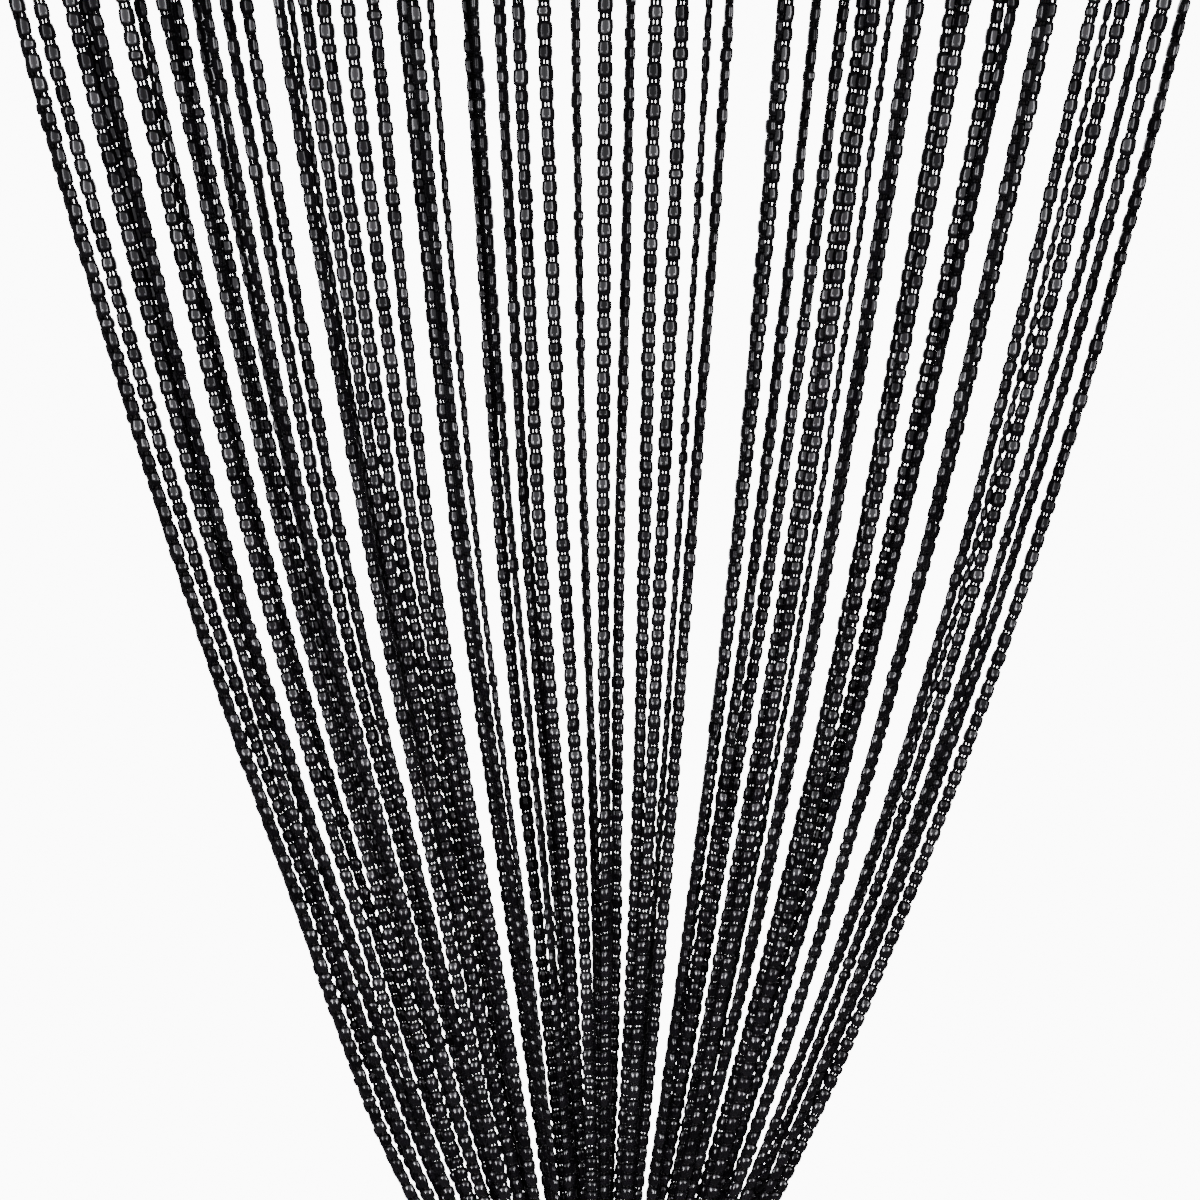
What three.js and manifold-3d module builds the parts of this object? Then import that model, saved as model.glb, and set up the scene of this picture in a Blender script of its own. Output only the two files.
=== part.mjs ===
// String door curtain. Strands of flat beads hang from a heading with a rod pocket. A tie band draws
// them together, so they fan out above it, each in the curve of a weighted string, and hang as a tail
// below it. Millimetres: +X to the right, +Y to the back, +Z up, origin mid-way along the top edge.
import * as THREE from "three";
import { mergeVertices } from "three/addons/utils/BufferGeometryUtils.js";
import Module from "manifold-3d";

// Driving dimensions
const CURTAIN_WIDTH = 900;
const CURTAIN_DROP = 2000;
const CLEARANCE = 0.3;

const HEADING = {
  height: 54,
  flangeHeight: 12, // sewn flat below the pocket
  wall: 1.5,
  pocketDepth: 20,
  pocketMiddle: -21,
  pocketFoot: 0.8, // how far apart the layers are at the pocket's foot
  curveSteps: 7,
};
const ROUNDNESS = 0.6; // of the sleeve's curves, from 0, slack, to 1, square
const STRIP = { width: 884, thickness: 4.4, height: 4 };
const BEAD_WIDTH = 10;
const STRAND = { width: 6.2, thickness: 4, rootSize: 2.6, firstBead: 16, rootSink: 2 };
const TIE = { middle: -1430, bandHeight: 26, bandThickness: 2.2, margin: 4, curveSteps: 20 };
const BUNDLE = { halfWidth: 39, halfDepth: 36, tailSpread: 1.25, tailFlare: 70 };
const FAN_STEPS = 12;
const TAIL_STEPS = 4;

// How the strands hang
const BUNCHING = 1.4; // how far the strands of a bunch close up on their way down, where they do most
const WANDER = 1.6; // sideways, in the middle of the fan
const PAIR_DEPTH = 6; // strands closer than a bead's width hang one before the other by this much
const FACE_TURN = 38; // degrees that a flat strand may face away from the front
const SLOW_TURN = 24; // degrees that it turns to and fro on its way down
const LENGTH_SPREAD = 4;
const SEED = 4711;
const GOLDEN = (Math.sqrt(5) - 1) / 2;
const FIRST_DEPTH = 0.8; // share of the bundle's depth where the golden steps begin, for the widest spacing

// Bunches from left to right: gap is from the last strand of the bunch before, steps are between its
// own strands, and edgeOn counts the strands, from 0, that hang edge-on to the front.
const BUNCHES = [
  { gap: 0, steps: [6, 15, 25, 7.5, 8.5], edgeOn: [] },
  { gap: 23.5, steps: [8.5], edgeOn: [] },
  { gap: 21, steps: [6, 15.5, 9.5, 14], edgeOn: [2] },
  { gap: 15, steps: [], edgeOn: [] },
  { gap: 25.5, steps: [6.5, 12, 13.5, 18, 19.5], edgeOn: [] },
  { gap: 21, steps: [9.5, 12, 27.5], edgeOn: [2] },
  { gap: 6, steps: [18, 14], edgeOn: [0] },
  { gap: 19, steps: [23.5, 22.5, 19], edgeOn: [] },
  { gap: 18.5, steps: [20, 20, 15.5], edgeOn: [2] },
  { gap: 37.5, steps: [6, 21, 21], edgeOn: [0] },
  { gap: 15.5, steps: [6], edgeOn: [] },
  { gap: 13.5, steps: [14.5, 6], edgeOn: [0] },
  { gap: 26, steps: [6.5, 29, 7.5], edgeOn: [] },
  { gap: 23, steps: [7.5], edgeOn: [] },
  { gap: 30.5, steps: [12, 10.5, 16.5, 13.5, 15], edgeOn: [1] },
];

// Heights worked out from them
const STRIP_TOP = -HEADING.height - CLEARANCE;
const ROOT = STRIP_TOP - STRIP.height;
const FIRST_BEAD = ROOT - STRAND.firstBead;
const NECK_TOP = TIE.middle + TIE.bandHeight / 2 + TIE.margin;
const NECK_BOTTOM = TIE.middle - TIE.bandHeight / 2 - TIE.margin;

const MATERIALS = {
  cloth: new THREE.MeshStandardMaterial({ color: 0x17171a, roughness: 0.85, metalness: 0 }),
  beads: new THREE.MeshStandardMaterial({ color: 0x1b1b20, roughness: 0.18, metalness: 0 }),
  band: new THREE.MeshStandardMaterial({ color: 0x141416, roughness: 0.8, metalness: 0 }),
};

const wasm = await Module();
wasm.setup();

// A repeatable stream of numbers from 0 to 1.
function numberStream(seed) {
  const multiplier = 16807;
  const modulus = 2147483647;
  let state = seed;
  return () => {
    state = (state * multiplier) % modulus;
    return state / modulus;
  };
}

const mix = (from, to, share) => from + (to - from) * share;
const ease = (share) => share * share * (3 - 2 * share);
const clamp01 = (value) => Math.min(1, Math.max(0, value));

// Where across a disc, from -1 to 1, the given share of its area lies to the left.
function discPlace(share) {
  let low = -1;
  let high = 1;
  for (let i = 0; i < 40; i++) {
    const x = (low + high) / 2;
    const left = 0.5 + (Math.asin(x) + x * Math.sqrt(1 - x * x)) / Math.PI;
    if (left < share) low = x;
    else high = x;
  }
  return (low + high) / 2;
}

// The roots along the heading, in order, each with the middle of its bunch.
function rootPlaces() {
  const roots = [];
  let x = 0;
  BUNCHES.forEach(({ gap, steps, edgeOn }, bunch) => {
    [gap, ...steps].forEach((step, k) => {
      x += step;
      roots.push({ x, bunch, edgeOn: edgeOn.includes(k), close: roots.length > 0 && step < BEAD_WIDTH });
    });
  });
  const middle = x / 2;
  for (const root of roots) root.x -= middle;
  BUNCHES.forEach((row, bunch) => {
    const own = roots.filter((root) => root.bunch === bunch);
    const middleX = own.reduce((sum, root) => sum + root.x, 0) / own.length;
    for (const root of own) root.bunchX = middleX;
  });
  return roots;
}

// Each strand's root, its place in the tied bundle, its depth just below the root and its turn.
// In the bundle the strands keep their order from left to right and step to the back and front by
// the golden ratio, which keeps them all apart.
function strandPlan() {
  const random = numberStream(SEED);
  const strands = rootPlaces();
  const count = strands.length;
  strands.forEach((strand, i) => {
    const across = discPlace((i + 0.5) / count);
    const depth = 2 * (((i + 1) * GOLDEN + FIRST_DEPTH) % 1) - 1;
    strand.tieX = BUNDLE.halfWidth * across;
    strand.tieY = BUNDLE.halfDepth * depth * Math.sqrt(1 - across * across);
    const facing = (2 * random() - 1) * FACE_TURN;
    strand.turn = strand.edgeOn ? 90 - facing / 4 : facing;
    strand.swing = (2 * random() - 1) * SLOW_TURN;
    strand.phase = random() * 2 * Math.PI;
    strand.wander = (2 * random() - 1) * WANDER;
    strand.lengthOff = (2 * random() - 1) * LENGTH_SPREAD;
  });
  let chain = [strands[0]];
  strands[0].startY = 0;
  const centreChain = () => {
    const middle = (Math.min(...chain.map((s) => s.startY)) + Math.max(...chain.map((s) => s.startY))) / 2;
    for (const strand of chain) strand.startY -= middle;
  };
  for (let i = 1; i < count; i++) {
    const before = strands[i - 1];
    strands[i].startY = 0;
    if (strands[i].close) {
      strands[i].startY = before.startY + PAIR_DEPTH * Math.sign(strands[i].tieY - before.tieY);
      chain.push(strands[i]);
    } else {
      centreChain();
      chain = [strands[i]];
    }
  }
  centreChain();
  return strands;
}

// How much of its way in from the heading a strand still has before it at a height: 1 at the root
// and 0 at the neck. A string under its own weight is steeper the more of it hangs below.
function wayLeft(z) {
  const tail = NECK_TOP + CURTAIN_DROP;
  return clamp01(Math.log((z + CURTAIN_DROP) / tail) / Math.log((ROOT + CURTAIN_DROP) / tail));
}

// The middle of a strand at a height, and its turn in radians.
function strandAt(strand, z) {
  const left = wayLeft(z);
  const gone = 1 - left;
  const closing = BUNCHING * gone ** 1.5 * left ** 0.5;
  const fanX = mix(strand.x, strand.bunchX, closing);
  const spread = mix(1, BUNDLE.tailSpread, ease(clamp01((NECK_BOTTOM - z) / BUNDLE.tailFlare)));
  const sway = strand.wander * 4 * gone * left * Math.sin(strand.phase + gone * Math.PI);
  const turn = strand.turn + strand.swing * Math.sin(strand.phase + (2 * Math.PI * z) / CURTAIN_DROP);
  const startDepth = z > FIRST_BEAD ? 0 : strand.startY;
  return {
    x: mix(strand.tieX * spread, fanX, left) + sway,
    y: mix(strand.tieY * spread, startDepth, left),
    turn: THREE.MathUtils.degToRad(turn),
  };
}

// The heights of a strand's sections. Every strand is cut to one length, so those that slant more
// end higher in the tail.
function sectionHeights(strand) {
  const fan = [];
  for (let k = 0; k <= FAN_STEPS; k++) fan.push(mix(FIRST_BEAD, NECK_TOP, k / FAN_STEPS));
  let slack = strand.lengthOff;
  fan.slice(1).forEach((z, k) => {
    const from = strandAt(strand, fan[k]);
    const to = strandAt(strand, z);
    const drop = fan[k] - z;
    slack += Math.hypot(to.x - from.x, to.y - from.y, drop) - drop;
  });
  const flare = NECK_BOTTOM - BUNDLE.tailFlare;
  const end = -CURTAIN_DROP + LENGTH_SPREAD + slack;
  const tail = [];
  for (let k = 0; k <= TAIL_STEPS; k++) tail.push(mix(flare, end, k / TAIL_STEPS));
  const halfFlare = (NECK_BOTTOM + flare) / 2;
  return [ROOT + STRAND.rootSink, ...fan, NECK_BOTTOM, halfFlare, ...tail];
}

// The four corners of a strand's flat section at a height.
function sectionCorners(strand, z) {
  const { x, y, turn } = strandAt(strand, z);
  const atRoot = z > ROOT;
  const halfWidth = (atRoot ? STRAND.rootSize : STRAND.width) / 2;
  const halfThickness = (atRoot ? STRAND.rootSize : STRAND.thickness) / 2;
  const corners = [[-1, -1], [1, -1], [1, 1], [-1, 1]];
  return corners.map(([across, deep]) => {
    const along = across * halfWidth;
    const out = deep * halfThickness;
    return new THREE.Vector3(
      x + along * Math.cos(turn) - out * Math.sin(turn),
      y + along * Math.sin(turn) + out * Math.cos(turn),
      z,
    );
  });
}

// A closed skin over sections that all have four corners, from the highest to the lowest.
function skin(sections) {
  const points = sections.flat();
  const sides = sections[0].length;
  const faces = [0, 1, 2, 0, 2, 3];
  for (let row = 0; row < sections.length - 1; row++) {
    for (let side = 0; side < sides; side++) {
      const upper = row * sides + side;
      const upperNext = row * sides + ((side + 1) % sides);
      const lower = upper + sides;
      const lowerNext = upperNext + sides;
      faces.push(upper, lower, upperNext, upperNext, lower, lowerNext);
    }
  }
  const last = (sections.length - 1) * sides;
  faces.push(last, last + 2, last + 1, last, last + 3, last + 2);
  return new THREE.BufferGeometry().setFromPoints(points).setIndex(faces);
}

function toSolid(geometry) {
  const bare = geometry.clone();
  bare.deleteAttribute("normal");
  bare.deleteAttribute("uv");
  const merged = mergeVertices(bare, 1e-4);
  return new wasm.Manifold(
    new wasm.Mesh({
      numProp: 3,
      vertProperties: new Float32Array(merged.attributes.position.array),
      triVerts: new Uint32Array(merged.index.array),
    }),
  );
}

function toGeometry(solid) {
  const { vertProperties, triVerts } = solid.getMesh();
  const geometry = new THREE.BufferGeometry();
  geometry.setAttribute("position", new THREE.BufferAttribute(vertProperties, 3));
  geometry.setIndex(new THREE.BufferAttribute(triVerts, 1));
  geometry.computeVertexNormals();
  return geometry;
}

function pieceOf(name, geometry, material) {
  const mesh = new THREE.Mesh(geometry, material);
  mesh.name = name;
  return mesh;
}

// The outline of the sleeve or of the pocket in it, seen from the end: two layers lie together from the
// foot to the fold, part round the pocket and meet at the top.
function sleeveOutline(outline, { halfFoot, foot, fold, halfDepth, top }) {
  const middle = HEADING.pocketMiddle;
  const shoulder = mix(middle, top, ROUNDNESS);
  const waist = mix(fold, middle, ROUNDNESS);
  const crown = halfDepth * ROUNDNESS;
  outline.moveTo(-halfFoot, foot);
  outline.lineTo(halfFoot, foot);
  outline.lineTo(halfFoot, fold);
  outline.bezierCurveTo(halfFoot, waist, halfDepth, waist, halfDepth, middle);
  outline.bezierCurveTo(halfDepth, shoulder, crown, top, 0, top);
  outline.bezierCurveTo(-crown, top, -halfDepth, shoulder, -halfDepth, middle);
  outline.bezierCurveTo(-halfDepth, waist, -halfFoot, waist, -halfFoot, fold);
  outline.closePath();
  return outline;
}

function heading() {
  const fold = HEADING.flangeHeight - HEADING.height;
  const section = sleeveOutline(new THREE.Shape(), {
    halfFoot: HEADING.wall,
    foot: -HEADING.height,
    fold,
    halfDepth: HEADING.pocketDepth / 2 + HEADING.wall,
    top: 0,
  });
  const pocketFoot = fold + HEADING.wall;
  const pocket = sleeveOutline(new THREE.Path(), {
    halfFoot: HEADING.pocketFoot / 2,
    foot: pocketFoot,
    fold: pocketFoot + HEADING.wall,
    halfDepth: HEADING.pocketDepth / 2,
    top: -HEADING.wall,
  });
  section.holes.push(pocket);
  const options = { depth: CURTAIN_WIDTH, bevelEnabled: false, curveSegments: HEADING.curveSteps };
  const geometry = new THREE.ExtrudeGeometry(section, options);
  const acrossTheDoor = new THREE.Matrix4().makeBasis(
    new THREE.Vector3(0, 1, 0),
    new THREE.Vector3(0, 0, 1),
    new THREE.Vector3(1, 0, 0),
  );
  geometry.applyMatrix4(acrossTheDoor);
  geometry.translate(-CURTAIN_WIDTH / 2, 0, 0);
  return pieceOf("heading", geometry, MATERIALS.cloth);
}

function strandCurtain(strands) {
  const strip = new THREE.BoxGeometry(STRIP.width, STRIP.thickness, STRIP.height);
  strip.translate(0, 0, STRIP_TOP - STRIP.height / 2);
  let solid = toSolid(strip);
  for (const strand of strands) {
    const sections = sectionHeights(strand).map((z) => sectionCorners(strand, z));
    solid = solid.add(toSolid(skin(sections)));
  }
  return pieceOf("strands", toGeometry(solid), MATERIALS.beads);
}

// The band's inner outline has the bundle's shape and clears the outermost corner of any strand.
function tieBand(strands) {
  const reach = (corner) => Math.hypot(corner.x / BUNDLE.halfWidth, corner.y / BUNDLE.halfDepth);
  const corners = strands.flatMap((strand) => [
    ...sectionCorners(strand, NECK_TOP),
    ...sectionCorners(strand, NECK_BOTTOM),
  ]);
  const outermost = Math.max(...corners.map(reach));
  const innerWidth = BUNDLE.halfWidth * outermost + CLEARANCE;
  const innerDepth = BUNDLE.halfDepth * outermost + CLEARANCE;
  const band = new THREE.Shape();
  const outerWidth = innerWidth + TIE.bandThickness;
  band.absellipse(0, 0, outerWidth, innerDepth + TIE.bandThickness, 0, 2 * Math.PI);
  const inside = new THREE.Path();
  inside.absellipse(0, 0, innerWidth, innerDepth, 0, 2 * Math.PI);
  band.holes.push(inside);
  const options = { depth: TIE.bandHeight, bevelEnabled: false, curveSegments: TIE.curveSteps };
  const geometry = new THREE.ExtrudeGeometry(band, options);
  geometry.translate(0, 0, TIE.middle - TIE.bandHeight / 2);
  return pieceOf("tie", geometry, MATERIALS.band);
}

const strands = strandPlan();
const curtain = new THREE.Group();
curtain.add(heading(), strandCurtain(strands), tieBand(strands));
export default curtain;
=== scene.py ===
"""String door curtain: black flat beads on three threads a strand, a tape heading and a tie band.

Metres, +Z up, +X to the right seen from the front, +Y to the back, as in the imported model. The
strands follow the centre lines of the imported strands, and every other size is worked out from the
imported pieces' boxes and the fields of the classes below.
"""

import sys

import logging
import math
import random
from dataclasses import dataclass, field
from enum import Enum

import bmesh
import bpy
import numpy as np
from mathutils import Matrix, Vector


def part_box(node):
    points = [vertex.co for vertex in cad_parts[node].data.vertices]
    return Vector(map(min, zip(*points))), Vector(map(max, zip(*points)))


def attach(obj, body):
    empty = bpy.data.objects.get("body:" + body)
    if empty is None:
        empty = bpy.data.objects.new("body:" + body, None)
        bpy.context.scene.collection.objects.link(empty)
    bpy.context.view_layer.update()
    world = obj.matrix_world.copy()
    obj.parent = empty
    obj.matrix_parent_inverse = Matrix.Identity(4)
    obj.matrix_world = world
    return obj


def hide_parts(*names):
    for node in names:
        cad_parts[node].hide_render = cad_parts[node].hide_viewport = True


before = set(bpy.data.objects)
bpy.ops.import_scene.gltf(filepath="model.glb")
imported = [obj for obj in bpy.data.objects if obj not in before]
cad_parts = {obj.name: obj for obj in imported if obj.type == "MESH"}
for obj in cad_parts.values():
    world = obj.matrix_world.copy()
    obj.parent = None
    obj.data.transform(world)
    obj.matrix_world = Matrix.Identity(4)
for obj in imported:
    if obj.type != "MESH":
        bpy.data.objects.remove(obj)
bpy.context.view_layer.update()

MM = 0.001
BODY = "root"
MIX_FIRST = 6
MIX_SECOND = 7
MIX_RESULT = 2
RIGHT = np.array([1.0, 0.0, 0.0])
BACK = np.array([0.0, 1.0, 0.0])
UP = np.array([0.0, 0.0, 1.0])
LOG = logging.getLogger("curtain")


class Slot(Enum):
    """The record's material slots."""

    CLOTH = "heading_cloth"
    BEADS = "beads"
    TIE = "tie_cloth"


def linear(hex_colour: str) -> tuple[float, float, float, float]:
    """Turns an sRGB hex colour to linear red, green, blue and alpha.

    Args:
        hex_colour: six hex digits, with no leading mark
    Returns:
        The linear colour, opaque.
    """
    channels = [int(hex_colour[i:i + 2], 16) / 255 for i in (0, 2, 4)]
    low = [c / 12.92 if c <= 0.04045 else ((c + 0.055) / 1.055) ** 2.4 for c in channels]
    return (*low, 1.0)


def fill_inputs(tree: bpy.types.NodeTree, node: bpy.types.Node, links: dict) -> None:
    """Fills or links a node's inputs.

    Args:
        tree: the node tree
        node: the node
        links: input name or number, and the value or the output socket that it takes
    """
    for key, source in links.items():
        if isinstance(source, bpy.types.NodeSocket):
            tree.links.new(source, node.inputs[key])
        else:
            node.inputs[key].default_value = source


def add_node(tree: bpy.types.NodeTree, kind: str, links: dict | None = None, **settings) -> bpy.types.Node:
    """Adds a node with its settings, and fills or links its inputs.

    Args:
        tree: the node tree
        kind: the node's type
        links: input name or number, and the value or the output socket that it takes
        settings: the node's own properties
    Returns:
        The new node.
    """
    node = tree.nodes.new(kind)
    for name, value in settings.items():
        setattr(node, name, value)
    fill_inputs(tree, node, links or {})
    return node


def new_material(name: str) -> tuple[bpy.types.Material, bpy.types.NodeTree, bpy.types.Node]:
    """Makes a material.

    Args:
        name: its name
    Returns:
        The material, its node tree and its shader.
    """
    material = bpy.data.materials.new(name)
    material.use_nodes = True
    return material, material.node_tree, material.node_tree.nodes["Principled BSDF"]


def new_tree(
    name: str, inputs: dict[str, str], output: str
) -> tuple[bpy.types.NodeTree, bpy.types.NodeOutputs]:
    """Makes a geometry tree with named inputs and one output.

    Args:
        name: its name
        inputs: each input's name and kind
        output: the output's name
    Returns:
        The tree, and the sockets of its inputs.
    """
    tree = bpy.data.node_groups.new(name, "GeometryNodeTree")
    for title, kind in inputs.items():
        tree.interface.new_socket(title, in_out="INPUT", socket_type=f"NodeSocket{kind}")
    tree.interface.new_socket(output, in_out="OUTPUT", socket_type="NodeSocketGeometry")
    return tree, add_node(tree, "NodeGroupInput").outputs


def end_tree(
    tree: bpy.types.NodeTree, made: bpy.types.NodeSocket, material: bpy.types.NodeSocket
) -> None:
    """Ends a geometry tree: makes its instances real and gives them their material.

    Args:
        tree: the tree
        made: what the tree has made
        material: the material
    """
    real = add_node(tree, "GeometryNodeRealizeInstances", {"Geometry": made}).outputs["Geometry"]
    finished = add_node(tree, "GeometryNodeSetMaterial", {"Geometry": real, "Material": material})
    add_node(tree, "NodeGroupOutput", {0: finished.outputs["Geometry"]})


def mesh_piece(name: str, points: np.ndarray, faces: list, smooth: bool = True) -> bpy.types.Object:
    """Makes an object at the origin from points and faces.

    Args:
        name: the object's name
        points: one row of x, y and z for each point, in metres
        faces: corner numbers of each face, anticlockwise from outside
        smooth: whether the faces are shaded smooth
    Returns:
        The object, linked to the scene.
    """
    mesh = bpy.data.meshes.new(name)
    mesh.from_pydata([tuple(p) for p in points], [], faces)
    mesh.polygons.foreach_set("use_smooth", [smooth] * len(mesh.polygons))
    mesh.update()
    piece = bpy.data.objects.new(name, mesh)
    bpy.context.scene.collection.objects.link(piece)
    return piece


def store(mesh: bpy.types.Mesh, name: str, values: np.ndarray) -> None:
    """Stores a number or a vector for each point of a mesh.

    Args:
        mesh: the mesh
        name: the attribute's name
        values: one number or one row of three for each point
    """
    flat = np.asarray(values, np.float32)
    kind, field_name = ("FLOAT_VECTOR", "vector") if flat.ndim == 2 else ("FLOAT", "value")
    attribute = mesh.attributes.new(name, kind, "POINT")
    attribute.data.foreach_set(field_name, flat.ravel())


def tube_faces(rings: int, around: int, start: int = 0, closed: bool = False) -> list[tuple]:
    """Faces that join rings of points to a tube.

    Args:
        rings: how many rings there are
        around: how many points each ring has
        start: the number of the first ring's first point
        closed: whether the last ring joins the first
    Returns:
        The corner numbers of each face.
    """
    faces = []
    for i in range(rings if closed else rings - 1):
        j = (i + 1) % rings
        for k in range(around):
            after = (k + 1) % around
            corners = (i * around + k, j * around + k, j * around + after, i * around + after)
            faces.append(tuple(start + corner for corner in corners))
    return faces


def swept_piece(name: str, rings: np.ndarray, cloth: np.ndarray, closed: bool = False) -> bpy.types.Object:
    """Makes a solid from rings of points, with flat ends unless it closes on itself.

    Args:
        name: the piece's name
        rings: the rings' points
        cloth: each point's place on the flat cloth
        closed: whether the last ring joins the first
    Returns:
        The piece.
    """
    count, around = rings.shape[:2]
    faces = tube_faces(count, around, closed=closed)
    if not closed:
        faces.append(tuple(range(around)))
        faces.append(tuple((count - 1) * around + k for k in range(around))[::-1])
    piece = mesh_piece(name, rings.reshape(-1, 3), faces)
    store(piece.data, "cloth", cloth.reshape(-1, 3))
    turn_outward(piece)
    return piece


def turn_outward(piece: bpy.types.Object) -> None:
    """Turns the faces of a closed piece to point outwards."""
    work = bmesh.new()
    work.from_mesh(piece.data)
    bmesh.ops.recalc_face_normals(work, faces=work.faces)
    work.to_mesh(piece.data)
    work.free()


def bezier(corners: list[tuple[float, float]], steps: int) -> np.ndarray:
    """Points of a cubic curve through flat corners, without its last one.

    Args:
        corners: its start, two handles and end
        steps: how many points
    Returns:
        One row for each point.
    """
    t = np.linspace(0, 1, steps, endpoint=False)[:, None]
    p = np.array(corners)
    return (1 - t) ** 3 * p[0] + 3 * (1 - t) ** 2 * t * p[1] + 3 * (1 - t) * t**2 * p[2] + t**3 * p[3]


def ease(share: np.ndarray | float) -> np.ndarray | float:
    """A smooth step from 0 to 1."""
    kept = np.clip(share, 0, 1)
    return kept * kept * (3 - 2 * kept)


def unit(vectors: np.ndarray) -> np.ndarray:
    """Rows of vectors, each made one long."""
    return vectors / np.maximum(np.linalg.norm(vectors, axis=-1, keepdims=True), 1e-12)


def way_along(points: np.ndarray) -> np.ndarray:
    """How far each point of a line lies from its first one, along the line."""
    return np.concatenate([[0], np.cumsum(np.linalg.norm(np.diff(points, axis=0), axis=1))])


@dataclass(frozen=True)
class PolishedAcrylic:
    """Black acrylic (PMMA), moulded and tumbled: glossy faces with slight waves, and painted shade that
    darkens the edges.
    """

    name: str = "acrylic_black_polished"
    face: str = "0a090b"
    # painted shade: the colour at the edges and ends, darker than the face
    rim_shade: str = "040404"
    ior: float = 1.49
    shine: float = 0.5  # of the surface's reflections, 0.5 as the index gives
    roughness: float = 0.12
    ripple: float = 2.4 * MM  # of the moulding's slight waves
    relief: tuple[float, float] = (0.1, 0.1 * MM)  # how strongly the waves show, and their height
    tones: tuple[float, float] = (0.45, 1.25)  # from the darkest bead to the lightest
    wear: tuple[float, float] = (0.6, 1.4)  # of the roughness, from spot to spot

    def build(self) -> bpy.types.Material:
        """Makes the material."""
        material, tree, shader = new_material(self.name)
        place = add_node(tree, "ShaderNodeTexCoord").outputs["Object"]
        rim_shade = add_node(tree, "ShaderNodeAttribute", attribute_name="rim_shade").outputs["Fac"]
        tone = add_node(tree, "ShaderNodeAttribute", attribute_name="tone").outputs["Fac"]
        waves = add_node(
            tree, "ShaderNodeTexNoise", {"Vector": place, "Scale": 1 / self.ripple, "Detail": 2.0}
        ).outputs["Fac"]
        shade = add_node(
            tree,
            "ShaderNodeMapRange",
            {"Value": tone, "To Min": self.tones[0], "To Max": self.tones[1]},
        ).outputs["Result"]
        # painted shade: the colour darkens from the face towards the edges and ends
        body = add_node(
            tree,
            "ShaderNodeMix",
            {0: rim_shade, MIX_FIRST: linear(self.face), MIX_SECOND: linear(self.rim_shade)},
            data_type="RGBA",
        ).outputs[MIX_RESULT]
        colour = add_node(tree, "ShaderNodeVectorMath", {0: body, "Scale": shade}, operation="SCALE")
        least, most = (self.roughness * share for share in self.wear)
        gloss = add_node(tree, "ShaderNodeMapRange", {"Value": waves, "To Min": least, "To Max": most})
        bump = add_node(
            tree,
            "ShaderNodeBump",
            {"Height": waves, "Strength": self.relief[0], "Distance": self.relief[1]},
        )
        inputs = {
            "IOR": self.ior,
            "Specular IOR Level": self.shine,
            "Base Color": colour.outputs["Vector"],
            "Roughness": gloss.outputs["Result"],
            "Normal": bump.outputs["Normal"],
        }
        fill_inputs(tree, shader, inputs)
        return material


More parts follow.
